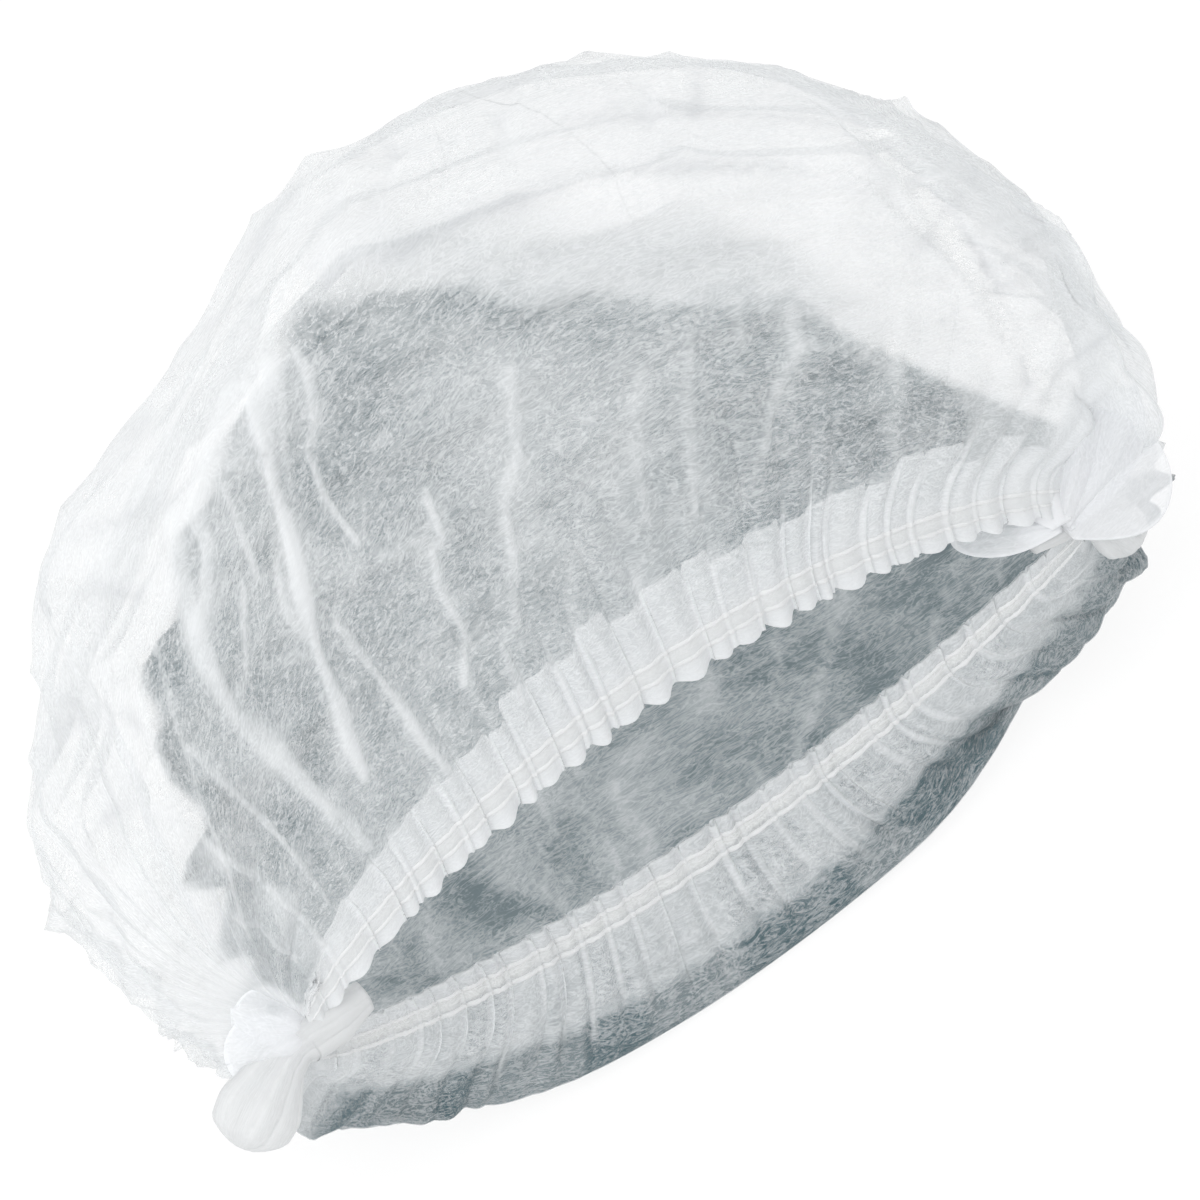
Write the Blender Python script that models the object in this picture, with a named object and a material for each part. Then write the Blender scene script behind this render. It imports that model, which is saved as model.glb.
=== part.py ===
"""A disposable bouffant cap of thin nonwoven cloth, opened out and lying on its side.

The cap is one rectangular sheet, gathered to a point at both ends, with a hem and a flat
elastic along each long edge. Opened, the sheet is a puffed, lemon-shaped shell: its arcs run
from the left gathered end to the right one, and the slit between the two hems is the way in
for the head. +X runs along the slit to the right end, -Y looks out of the slit, +Z is up.

Two parameters place a point of the sheet:
  along  0 at the left gathered end, 1 at the right one
  cloth  metres of cloth from the fold of the upper hem, over the crown, to that of the lower
"""

import bmesh
import bpy
import numpy as np

# ---------------------------------------------------------------- driving dimensions, metres
END_TO_MIDDLE = 0.1125  # from the middle of the slit to each gathered end
SLIT_HEIGHT = 0.072  # the line between the gathered ends, above the surface the cap lies on
ORIGIN_SHIFT = (-0.0123, -0.0643)  # X and Y moved, so that the origin is below the cap's middle

WALL = 0.0012  # the sheet, with its crinkles
PLY = 0.0008  # the turned-in hem
ELASTIC = 0.0009  # thickness of the flat elastic
GAP = 0.0005  # left between one ply and the next, measured across the smooth sheet
CLOTH_ACROSS = 0.508  # the sheet from fold to fold, over the crown

FRILL = 0.007  # from a hem's fold to the middle of its elastic
ELASTIC_WIDTH = 0.004
HEM_WIDTH = 0.026  # from a hem's fold to its cut edge
END_RING = 0.0065  # radius of the sheet where it is gathered together
RING_FROM, RING_TO = np.radians(100), np.radians(-110)  # where that ring starts and ends

# Each row is one lengthwise arc of the sheet at the middle of the cap. depth is measured back
# from the slit and rise up from it; bulge is how far the arc puffs out past each gathered
# end, and fullness is low for a blunt arc and high for a pointed one.
ARC_COLUMNS = ("cloth", "depth", "rise", "bulge_left", "bulge_right", "fullness")
ARCS = np.array([
    (0.000, 0.0065, 0.028, 0.000, 0.000, 1.60),  # fold of the upper hem
    (0.007, 0.010, 0.034, 0.000, 0.000, 1.60),  # upper elastic
    (0.036, 0.026, 0.058, 0.004, 0.028, 1.42),  # foot of the front panel
    (0.075, 0.049, 0.090, 0.013, 0.052, 1.32),  # front panel
    (0.115, 0.079, 0.115, 0.024, 0.062, 1.26),  # top
    (0.165, 0.126, 0.100, 0.034, 0.062, 1.20),
    (0.226, 0.143, 0.042, 0.048, 0.074, 1.12),  # back
    (0.292, 0.136, -0.024, 0.054, 0.088, 1.08),
    (0.349, 0.097, -0.065, 0.049, 0.092, 1.10),
    (0.419, 0.028, -0.078, 0.039, 0.080, 1.18),  # underside
    (0.468, -0.020, -0.070, 0.025, 0.042, 1.35),  # lower lip
    (0.501, 0.001, -0.044, 0.000, 0.000, 1.70),  # lower elastic
    (0.508, 0.0045, -0.038, 0.000, 0.000, 1.70),  # fold of the lower hem
])

# Each row is one long crease of the sheet, from one place to another.
CREASE_COLUMNS = ("along_from", "cloth_from", "along_to", "cloth_to", "height", "width")
CREASES = np.array([
    (0.350, 0.116, 0.255, 0.042, 0.0030, 0.007),  # down the left of the front panel
    (0.275, 0.133, 0.235, 0.090, 0.0025, 0.007),  # and beside it, nearer the end
    (0.235, 0.090, 0.235, 0.045, 0.0025, 0.007),
    (0.160, 0.126, 0.425, 0.130, 0.0030, 0.011),  # the puffed rim over the panel
    (0.425, 0.130, 0.640, 0.056, 0.0030, 0.011),
    (0.460, 0.124, 0.640, 0.099, 0.0035, 0.009),  # the fold that turns down to the right end
    (0.640, 0.099, 0.800, 0.036, 0.0035, 0.009),
])

# Each row is one place where the cloth has puffed out, or sunk in where height is negative.
PUFF_COLUMNS = ("along", "cloth", "height", "half_along", "half_cloth")
PUFFS = np.array([
    (0.780, 0.140, -0.0105, 0.18, 0.085),  # sunk over the right of the top
    (0.935, 0.090, 0.0130, 0.065, 0.080),  # lobe over the right gathered end
    (0.390, 0.185, -0.0060, 0.12, 0.080),  # sunk at the left of the top
    (0.420, 0.075, -0.0040, 0.22, 0.042),  # dished front panel
])
LENGTHWISE_PUFFS = 9  # soft folds along the whole crown, left by the packed cap's pleats
CROSSWISE_PUFFS = 5

GATHERS = 18  # pleats that each elastic draws up
END_PLEATS = 10  # lengthwise pleats that run into each gathered end
COLUMNS, ROWS = 54, 28  # faces of the sheet along the slit and across it
SHEET_ENDS_AT = 0.012  # where along starts and stops on the sheet
HEM_FULLNESS = 0.35  # how bluntly the width beside an elastic runs out at the ends
HEM_ENDS_AT = 0.050  # and on the hems and elastics, which stop short of the gathered ends
SIDES = 16  # faces round a gathered tail

# Each row is one section of the tail of spare cloth that stands out past a gathered end.
TAIL_COLUMNS = ("out", "forward", "drop", "radius")
TAIL = np.array([
    (0.0015, 0.0000, 0.0000, 0.0050),  # neck, in the ring of the sheet
    (0.0045, 0.0006, 0.0002, 0.0051),
    (0.0085, 0.0018, 0.0012, 0.0058),
    (0.0125, 0.0034, 0.0030, 0.0076),
    (0.0168, 0.0052, 0.0056, 0.0096),
    (0.0210, 0.0070, 0.0086, 0.0090),
    (0.0245, 0.0086, 0.0112, 0.0058),
])
NECK = TAIL[0, 3]
TAIL_PLEATS = 5


# ---------------------------------------------------------------- the form of the sheet
def smoothstep(low, high, x):
    """0 below low, 1 above high, and an even S between."""
    t = np.clip((x - low) / (high - low), 0, 1)
    return t * t * (3 - 2 * t)


def arc_value(name, cloth):
    """One column of ARCS at any place across the sheet, by a cubic through its rows."""
    at, value = ARCS[:, 0], ARCS[:, ARC_COLUMNS.index(name)]
    step = np.diff(at)
    rate = np.diff(value) / step
    slope = np.empty_like(value)
    slope[1:-1] = (rate[:-1] * step[1:] + rate[1:] * step[:-1]) / (step[1:] + step[:-1])
    slope[0], slope[-1] = rate[0], rate[-1]
    k = np.clip(np.searchsorted(at, cloth, side="right") - 1, 0, len(step) - 1)
    t = (cloth - at[k]) / step[k]
    start = (2 * t**3 - 3 * t**2 + 1) * value[k] + (t**3 - 2 * t**2 + t) * step[k] * slope[k]
    end = (3 * t**2 - 2 * t**3) * value[k + 1] + (t**3 - t**2) * step[k] * slope[k + 1]
    return start + end


def sheet_point(along, cloth):
    """The smooth sheet, with no folds: a half sine from end to end for each arc's distance
    from the slit, puffed out past the ends by a second, shorter wave, and flat where it lies.
    The cloth beside an elastic narrows less towards the ends than the arcs do."""
    turn = np.pi * along
    swell = np.sin(2 * turn) * (1 - 0.35 * np.sin(turn))
    bulge = np.where(along < 0.5, arc_value("bulge_left", cloth), arc_value("bulge_right", cloth))
    spread = np.sin(turn) ** arc_value("fullness", cloth)
    ring = RING_FROM + (RING_TO - RING_FROM) * cloth / CLOTH_ACROSS
    upper = cloth < CLOTH_ACROSS / 2
    at_elastic = np.where(upper, FRILL, CLOTH_ACROSS - FRILL)
    beside = 1 - smoothstep(FRILL + ELASTIC_WIDTH / 2, HEM_WIDTH, np.minimum(cloth, CLOTH_ACROSS - cloth))
    held = beside * (np.sin(turn) ** HEM_FULLNESS - spread)
    section = []
    for name, ring_part in (("depth", np.cos(ring)), ("rise", np.sin(ring))):
        value = arc_value(name, cloth)
        from_elastic = value - arc_value(name, at_elastic)
        section.append(value * spread + from_elastic * held + END_RING * ring_part * (1 - spread))
    x = -END_TO_MIDDLE * np.cos(turn) - bulge * swell
    z = np.maximum(section[1] + SLIT_HEIGHT, 0)
    return np.stack([x + ORIGIN_SHIFT[0], section[0] + ORIGIN_SHIFT[1], z], -1)


def sheet_normal(along, cloth, step=1e-4):
    """The outward direction at a place of the smooth sheet, from four places close to it."""
    low, high = np.maximum(cloth - step, 0), np.minimum(cloth + step, CLOTH_ACROSS)
    lengthwise = sheet_point(along + step, cloth) - sheet_point(along - step, cloth)
    across = sheet_point(along, high) - sheet_point(along, low)
    normal = np.cross(lengthwise, across)
    return normal / np.linalg.norm(normal, axis=-1, keepdims=True)


def crease_height(along, cloth):
    """All rows of CREASES: each a rounded ridge over a straight line on the sheet."""
    total = np.zeros_like(along)
    metres = np.array([2 * END_TO_MIDDLE, 1.0])
    place = np.stack([along, cloth], -1) * metres
    for row in CREASES:
        crease = dict(zip(CREASE_COLUMNS, row))
        start = np.array([crease["along_from"], crease["cloth_from"]]) * metres
        run = np.array([crease["along_to"], crease["cloth_to"]]) * metres - start
        share = np.clip((place - start) @ run / (run @ run), 0, 1)
        away = np.linalg.norm(place - start - share[..., None] * run, axis=-1)
        total += crease["height"] * np.exp(-((away / crease["width"]) ** 2))
    return total


def puff_height(along, cloth):
    """Round bumps and dents, one for each row of PUFFS, that fade to nothing at their rims."""
    total = np.zeros_like(along)
    for row in PUFFS:
        puff = dict(zip(PUFF_COLUMNS, row))
        off_along = (along - puff["along"]) / puff["half_along"]
        off_cloth = (cloth - puff["cloth"]) / puff["half_cloth"]
        total += puff["height"] * np.clip(1 - off_along**2 - off_cloth**2, 0, 1) ** 2
    return total


def fold_height(along, cloth):
    """How far the folds push the sheet out: gathers that fade away from each elastic, pleats
    that fade away from each gathered end, soft puffs over the crown, and the creases and dents.
    Nothing moves where it lies flat."""
    edge = np.minimum(cloth, CLOTH_ACROSS - cloth)
    from_elastic = np.abs(edge - FRILL)
    gather = 0.0005 + 0.0019 * smoothstep(0, 0.016, from_elastic)
    gather *= 1 - smoothstep(0.025, 0.085, edge)
    end = np.minimum(along, 1 - along)
    gather *= smoothstep(0.03, 0.16, end)
    pleat = 0.0024 * smoothstep(0.02, 0.10, end) * (1 - smoothstep(0.14, 0.30, end))
    puff = 0.0018 * smoothstep(0.14, 0.30, end)
    lift = smoothstep(0.004, 0.020, sheet_point(along, cloth)[..., 2])
    waves = gather * np.cos(2 * np.pi * GATHERS * along)
    share = 2 * np.pi * cloth / CLOTH_ACROSS
    crown = pleat * np.cos(END_PLEATS * share)
    lengthwise = np.cos(LENGTHWISE_PUFFS * share + 3 * along)
    crown += puff * lengthwise * np.cos(np.pi * CROSSWISE_PUFFS * along + share)
    crown += crease_height(along, cloth) + puff_height(along, cloth)
    return (waves + crown * smoothstep(0.03, 0.08, edge)) * lift


# ---------------------------------------------------------------- solids from the sheet
def wall_mesh(name, outer, inner):
    """A closed solid between two grids of points of the same size. Both faces are split along
    the same diagonals, so that one wall nests inside the next."""
    columns, rows = outer.shape[:2]
    count = columns * rows
    number = np.arange(count).reshape(columns, rows)

    def triangles(a, b, c, d):
        return np.stack([a, b, c, a, c, d], -1).reshape(-1, 3)

    top = triangles(number[:-1, :-1], number[1:, :-1], number[1:, 1:], number[:-1, 1:])
    faces = [top, top[:, ::-1] + count]
    for edge in (number[:, 0], number[-1, :], number[::-1, -1], number[0, ::-1]):
        faces.append(triangles(edge[1:], edge[:-1], edge[:-1] + count, edge[1:] + count))
    mesh = bpy.data.meshes.new(name)
    points = np.concatenate([outer.reshape(-1, 3), inner.reshape(-1, 3)])
    mesh.from_pydata(points.tolist(), [], np.concatenate(faces).tolist())
    mesh.shade_smooth()
    return mesh


def sheet_wall(name, along, cloth, outside, inside):
    """The solid over a grid of places, between two depths below the folded sheet."""
    along, cloth = np.meshgrid(along, cloth, indexing="ij")
    normal = sheet_normal(along, cloth)
    face = sheet_point(along, cloth) + fold_height(along, cloth)[..., None] * normal
    outside = np.broadcast_to(outside, cloth.shape)[..., None]
    inside = np.broadcast_to(inside, cloth.shape)[..., None]
    return wall_mesh(name, face - outside * normal, face - inside * normal)


def place(name, mesh, material):
    """Puts a finished mesh into the scene under its own name, with its material."""
    piece = bpy.data.objects.new(name, mesh)
    bpy.context.scene.collection.objects.link(piece)
    mesh.materials.append(material)
    return piece


def material(name, colour, roughness):
    made = bpy.data.materials.new(name)
    made.use_nodes = True
    shader = made.node_tree.nodes["Principled BSDF"]
    shader.inputs["Base Color"].default_value = (*colour, 1)
    shader.inputs["Roughness"].default_value = roughness
    shader.inputs["Metallic"].default_value = 0
    return made


def columns_from(end):
    """Places along the slit: those of the sheet, but stopping short at both ends."""
    places = np.linspace(SHEET_ENDS_AT, 1 - SHEET_ENDS_AT, COLUMNS + 1)
    return places[(places > end - 1e-9) & (places < 1 - end + 1e-9)]


def hem_stations():
    """Places across a hem from its fold, with one on each side of the elastic's edges."""
    half = ELASTIC_WIDTH / 2
    ramp = ELASTIC + GAP
    return np.array([0, FRILL - half - ramp, FRILL - half, FRILL + half, FRILL + half + ramp, HEM_WIDTH])


def make_crown_sheet(nonwoven):
    """The whole sheet from fold to fold."""
    hem = hem_stations()
    crown = np.linspace(HEM_WIDTH, CLOTH_ACROSS - HEM_WIDTH, ROWS - 2 * (len(hem) - 1) + 1)
    cloth = np.concatenate([hem[:-1], crown, CLOTH_ACROSS - hem[-2::-1]])
    mesh = sheet_wall("crown_sheet", columns_from(SHEET_ENDS_AT), cloth, 0, WALL)
    return place("crown_sheet", mesh, nonwoven)


def make_hem(name, upper, nonwoven):
    """The cloth turned in over an elastic: one more ply inside the sheet, raised where the
    elastic runs between the two."""
    stations = hem_stations()
    over_elastic = np.abs(stations - FRILL) < ELASTIC_WIDTH / 2 + 0.0001
    depth = WALL + GAP + np.where(over_elastic, ELASTIC + GAP, 0)
    cloth = stations if upper else CLOTH_ACROSS - stations[::-1]
    depth = depth if upper else depth[::-1]
    mesh = sheet_wall(name, columns_from(HEM_ENDS_AT), cloth, depth, depth + PLY)
    return place(name, mesh, nonwoven)


def make_elastic(name, upper, rubber):
    """The flat elastic of one hem, from gathered end to gathered end."""
    edges = FRILL + np.array([-0.5, 0.5]) * ELASTIC_WIDTH
    cloth = edges if upper else CLOTH_ACROSS - edges[::-1]
    depth = WALL + GAP
    mesh = sheet_wall(name, columns_from(HEM_ENDS_AT), cloth, depth, depth + ELASTIC)
    return place(name, mesh, rubber)


def make_tail(name, direction, scale, nonwoven):
    """The spare cloth past a gathered end: a pleated tail whose neck fills the sheet's ring.
    direction is -1 at the left end and 1 at the right."""
    out, forward, drop, radius = TAIL.T
    radius = NECK + (radius - NECK) * scale
    centre = np.stack([direction * (END_TO_MIDDLE + out) + ORIGIN_SHIFT[0],
                       ORIGIN_SHIFT[1] - forward, SLIT_HEIGHT - drop], -1)
    heading = np.gradient(centre, axis=0)
    heading /= np.linalg.norm(heading, axis=1, keepdims=True)
    side = np.cross(heading, [0.0, 0.0, 1.0])
    side /= np.linalg.norm(side, axis=1, keepdims=True)
    rise = np.cross(side, heading)
    turn = 2 * np.pi * np.arange(SIDES) / SIDES
    pleated = 1 - 0.09 * smoothstep(0.004, 0.016, out)[:, None] * (1 + np.cos(TAIL_PLEATS * turn))
    reach = (radius[:, None] * pleated)[..., None]
    around = np.cos(turn)[:, None] * side[:, None] + np.sin(turn)[:, None] * rise[:, None]
    points = centre[:, None] + reach * around
    build = bmesh.new()
    rings = [[build.verts.new(point) for point in ring] for ring in points]
    for near, far in zip(rings, rings[1:]):
        for k in range(SIDES):
            build.faces.new((near[k - 1], near[k], far[k], far[k - 1]))
    for ring in (rings[0], rings[-1]):
        build.faces.new(ring)
    bmesh.ops.recalc_face_normals(build, faces=build.faces)
    mesh = bpy.data.meshes.new(name)
    build.to_mesh(mesh)
    build.free()
    mesh.shade_smooth()
    return place(name, mesh, nonwoven)


def clear_scene():
    for old in list(bpy.data.objects):
        bpy.data.objects.remove(old, do_unlink=True)


def main():
    clear_scene()
    nonwoven = material("nonwoven_sheet", (0.80, 0.83, 0.85), 0.75)
    rubber = material("elastic", (0.86, 0.85, 0.81), 0.6)
    make_crown_sheet(nonwoven)
    for side, upper in (("upper", True), ("lower", False)):
        make_hem(f"hem_{side}", upper, nonwoven)
        make_elastic(f"elastic_{side}", upper, rubber)
    make_tail("tail_left", -1, 1.0, nonwoven)
    make_tail("tail_right", 1, 0.7, nonwoven)


main()
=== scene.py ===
# %% [markdown]
# # A disposable bouffant cap
# The real cap is one rectangle of thin nonwoven cloth. Its long edges are turned in over flat
# elastics, and its short edges are gathered to a point, so that it opens into a puffed shell.
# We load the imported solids, which fix its size and place, and give every piece its fine form.

import bmesh
import bpy
import numpy as np
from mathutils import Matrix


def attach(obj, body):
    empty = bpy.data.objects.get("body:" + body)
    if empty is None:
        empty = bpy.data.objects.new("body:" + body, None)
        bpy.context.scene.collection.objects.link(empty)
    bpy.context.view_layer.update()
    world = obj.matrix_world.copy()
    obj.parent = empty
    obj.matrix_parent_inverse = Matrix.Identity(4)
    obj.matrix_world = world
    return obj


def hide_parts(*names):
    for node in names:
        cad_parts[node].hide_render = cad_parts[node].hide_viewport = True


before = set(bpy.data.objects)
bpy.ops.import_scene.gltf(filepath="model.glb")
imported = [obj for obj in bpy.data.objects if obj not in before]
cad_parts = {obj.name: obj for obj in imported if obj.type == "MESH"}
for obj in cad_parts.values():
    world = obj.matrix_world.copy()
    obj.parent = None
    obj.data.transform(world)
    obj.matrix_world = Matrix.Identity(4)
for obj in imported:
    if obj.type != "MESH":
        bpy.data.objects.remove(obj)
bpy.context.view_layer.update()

scene = bpy.context.scene

# %% [markdown]
# ## The sheet before it is folded
# Two numbers place any point of the cloth. *along* runs from 0 at the left gathered end to 1 at
# the right one, and *cloth* is the metres of cloth from the upper hem's fold, over the crown, to
# the lower hem's fold. Each row of the table is one lengthwise arc, given at the middle of the
# cap, and a cubic gives the arcs between them. It could be sculpted by hand, but with a formula
# every fold below is placed by the same two numbers.

# %% The arcs of the sheet
END_TO_MIDDLE = .1125
SLIT_HEIGHT = .072
ORIGIN_SHIFT = (-.0123, -.0643)
CLOTH_ACROSS = .508
CLOTH_LENGTHWISE = .49
FRILL = .007
ELASTIC_WIDTH = .004
HEM_WIDTH = .026
END_RING = .0065
RING_FROM, RING_TO = np.radians(100), np.radians(-110)
HEM_FULLNESS = .35
ARC_COLUMNS = ("cloth", "depth", "rise", "bulge_left", "bulge_right", "fullness")


def numbers(text):
    """The numbers in a text, with spaces between them."""
    return np.array(text.split(), float)


def table(text, *units):
    """The numbers of each line of a text, and where units are given, each column over its unit."""
    rows = [numbers(line) for line in text.strip().splitlines()]
    return np.array(rows) / units if units else rows


# ARC_COLUMNS, in millimetres but for fullness
ARCS = table("""
0 6.5 28 0 0 1.6
7 10 34 0 0 1.6
36 26 58 4 28 1.42
75 49 90 13 52 1.32
115 79 115 24 62 1.26
165 126 100 34 62 1.2
226 143 42 48 74 1.12
292 136 -24 54 88 1.08
349 97 -65 49 92 1.1
419 28 -78 39 80 1.18
468 -20 -70 25 42 1.35
501 1 -44 0 0 1.7
508 4.5 -38 0 0 1.7
""", 1000, 1000, 1000, 1000, 1000, 1)


def grow(low, high, x):
    """0 below low, 1 above high, and t * t * (3 - 2t) between, where t is the share of the way."""
    t = np.clip((x - low) / (high - low), 0, 1)
    return t * t * (3 - 2 * t)


def fade(low, high, x):
    """1 below low and 0 above high: what grow leaves."""
    return 1 - grow(low, high, x)


def bell(x, width, power=2):
    """exp(-(x / width) ** power): 1 at x = 0, and nearly 0 past two widths."""
    return np.exp(-((x / width) ** power))


def unit(vectors):
    """Each vector divided by its own length."""
    return vectors / np.maximum(np.linalg.norm(vectors, axis=-1, keepdims=True), 1e-12)


def arc_value(name, cloth):
    """One column of ARCS across the sheet: a cubic between each two rows, whose slope at a row
    is the mean of the slopes beside it, the nearer one counting for more."""
    at, value = ARCS[:, 0], ARCS[:, ARC_COLUMNS.index(name)]
    step = np.diff(at)
    rate = np.diff(value) / step
    slope = np.empty_like(value)
    slope[1:-1] = (rate[:-1] * step[1:] + rate[1:] * step[:-1]) / (step[1:] + step[:-1])
    slope[0], slope[-1] = rate[0], rate[-1]
    k = np.clip(np.searchsorted(at, cloth, side="right") - 1, 0, len(step) - 1)
    t = (cloth - at[k]) / step[k]
    start = (2 * t**3 - 3 * t**2 + 1) * value[k] + (t**3 - 2 * t**2 + t) * step[k] * slope[k]
    end = (3 * t**2 - 2 * t**3) * value[k + 1] + (t**3 - t**2) * step[k] * slope[k + 1]
    return start + end


# %% The smooth sheet
def sheet_point(along, cloth):
    """x = -cos(pi along) times the half length, less a bulge times sin(2 pi along). y and z are
    the arc's depth and rise times sin(pi along) to the power of its fullness, plus a small ring
    at the ends. Beside an elastic the sheet narrows later, and nothing is under the floor."""
    turn = np.pi * along
    swell = np.sin(2 * turn) * (1 - .35 * np.sin(turn))
    bulge = np.where(along < .5, arc_value("bulge_left", cloth), arc_value("bulge_right", cloth))
    spread = np.sin(turn) ** arc_value("fullness", cloth)
    ring = RING_FROM + (RING_TO - RING_FROM) * cloth / CLOTH_ACROSS
    at_elastic = np.where(cloth < CLOTH_ACROSS / 2, FRILL, CLOTH_ACROSS - FRILL)
    beside = fade(FRILL + ELASTIC_WIDTH / 2, HEM_WIDTH, from_fold(cloth))
    held = beside * (np.sin(turn) ** HEM_FULLNESS - spread)
    section = []
    for name, ring_part in (("depth", np.cos(ring)), ("rise", np.sin(ring))):
        value = arc_value(name, cloth)
        from_elastic = value - arc_value(name, at_elastic)
        section.append(value * spread + from_elastic * held + END_RING * ring_part * (1 - spread))
    x = -END_TO_MIDDLE * np.cos(turn) - bulge * swell
    z = np.maximum(section[1] + SLIT_HEIGHT, 0)
    return np.stack([x + ORIGIN_SHIFT[0], section[0] + ORIGIN_SHIFT[1], z], -1)


def from_fold(cloth):
    """Metres of cloth to the nearer hem's fold."""
    return np.minimum(cloth, CLOTH_ACROSS - cloth)


def from_end(along):
    """How far along it is to the nearer gathered end."""
    return np.minimum(along, 1 - along)


def sheet_directions(along, cloth, step=1e-4):
    """The outward direction of the smooth sheet and the direction in which cloth grows, from
    four places close by."""
    low, high = np.maximum(cloth - step, 0), np.minimum(cloth + step, CLOTH_ACROSS)
    lengthwise = sheet_point(along + step, cloth) - sheet_point(along - step, cloth)
    across = sheet_point(along, high) - sheet_point(along, low)
    return unit(np.cross(lengthwise, across)), unit(across)


print("cloth across the cap, from fold to fold:", CLOTH_ACROSS, "m")

# %% [markdown]
# ## Gathers
# An elastic draws half a metre of cloth up to less than half its length, so the cloth stands up
# in soft lobes with a sharp valley between each two. We draw their widths once, from a seeded
# generator, for the sheet, the turned-in hem and the elastic alike, so that the layers keep
# inside one another. A cloth simulation would find other folds for each layer.

# %% Lobes of different widths
def cell_edges(count, seed, spread=.42):
    """Edges of count cells that fill 0 to 1, each 1 wide give or take spread, then scaled."""
    widths = 1 + spread * np.random.default_rng(seed).uniform(-1, 1, count)
    return np.concatenate([[0], np.cumsum(widths)]) / widths.sum()


def in_cells(share, edges):
    """Number of the cell that a share lies in, and how far across that cell it is, 0 to 1."""
    number = np.interp(share, edges, np.arange(len(edges)))
    cell = np.clip(number.astype(int), 0, len(edges) - 2)
    return cell, number - cell


def share_of_slit(along):
    """How far along the line between the gathered ends: (1 - cos(pi along)) / 2."""
    return (1 - np.cos(np.pi * along)) / 2


GATHERS = cell_edges(30, 3)
PLEAT_SHARE = .15
# all in tenths of a millimetre
LOBE_STEPS, LOBE_HEIGHTS, PLEAT_SHIFTS, PLEAT_LIFTS = table("""
0 45 70 95 180 350 600 950
24 12 6 10 20 14 5 0
4 3 2 3 5 4 3 0
16 10 6 9 14 14 10 0
""", 10000)
GATHERS_REACH = .11
HEM_SIDES = (
    # seed, plies in the hem, plies beside the elastic
    (21, .9, 3.2),
    (34, .05, .8),
)


def gathers(along, cloth, pleated=True):
    """Height, ply count, lobe and lengthwise shift of the gathers of both hems. A lobe rises as
    sin(pi phase) ** 1.4 and reaches past the fold as sin(pi phase) ** 0.7, each less its mean.
    Between two lobes stands a pressed pleat of more plies, exp(-(t / 0.42) ** 2) for t from -1
    to 1. It leans to one side and opens at its own distance from the elastic."""
    height, plies, shift, lobe_of = (np.zeros_like(along) for _ in range(4))
    end = grow(.015, .09, along) * fade(.80, .93, along)
    cell, phase = in_cells(share_of_slit(along), GATHERS)
    valley = cell + (phase > .5)
    turn = np.clip(np.where(phase > .5, phase - 1, phase) / PLEAT_SHARE, -1, 1)
    sine = np.sin(np.pi * phase)
    for edge, (seed, in_hem, at_elastic) in zip((cloth, CLOTH_ACROSS - cloth), HEM_SIDES):
        rng = np.random.default_rng(seed)
        size = rng.uniform(.45, 1.35, len(GATHERS))[cell] * (.75 + .35 * grow(.2, .5, along))
        reach = rng.uniform(.022, .034, len(GATHERS) + 1)[valley]
        deep = rng.uniform(.55, 1.15, len(GATHERS) + 1)[valley]
        over = rng.choice([-1.0, 1.0], len(GATHERS) + 1)[valley]
        near = edge < GATHERS_REACH
        past_fold = (sine ** .70 - .66) * size * np.diff(GATHERS)[cell] * len(GATHERS)
        lobe_of = np.where(near, past_fold, lobe_of)
        swell = np.interp(edge, LOBE_STEPS, LOBE_HEIGHTS) * size * end
        height += np.where(near, swell * (sine ** 1.4 - .55), 0)
        laid = near * end * deep * fade(.55 * reach, reach, edge)
        if pleated:
            shift -= laid * np.interp(edge, LOBE_STEPS, PLEAT_SHIFTS) * over * np.sin(np.pi * turn)
            height += laid * np.interp(edge, LOBE_STEPS, PLEAT_LIFTS) * (bell(turn, .42) - .3)
        beside_elastic = bell(np.maximum(edge - .006, 0), .0045)
        plies += near * (in_hem * bell(edge, .024) + at_elastic * beside_elastic)
        plies += 2.4 * near * end * deep * bell(turn, .7) * fade(.7 * reach, 1.1 * reach, edge)
    return height, plies, lobe_of, shift


# %% [markdown]
# ## Creases
# The cap was packed as a pleated strip, so its opened cloth keeps long pinched creases. Each is
# a line on the flat cloth, given by its corners, with a height, a width and how many more plies
# lie in it, and each place of the sheet takes its distance to the line. Round the rim there are
# only pressed lines, with painted shade that makes them a little greyer than the cloth.

# %% Long creases of the cloth
ALONG_METRES = .42
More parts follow.
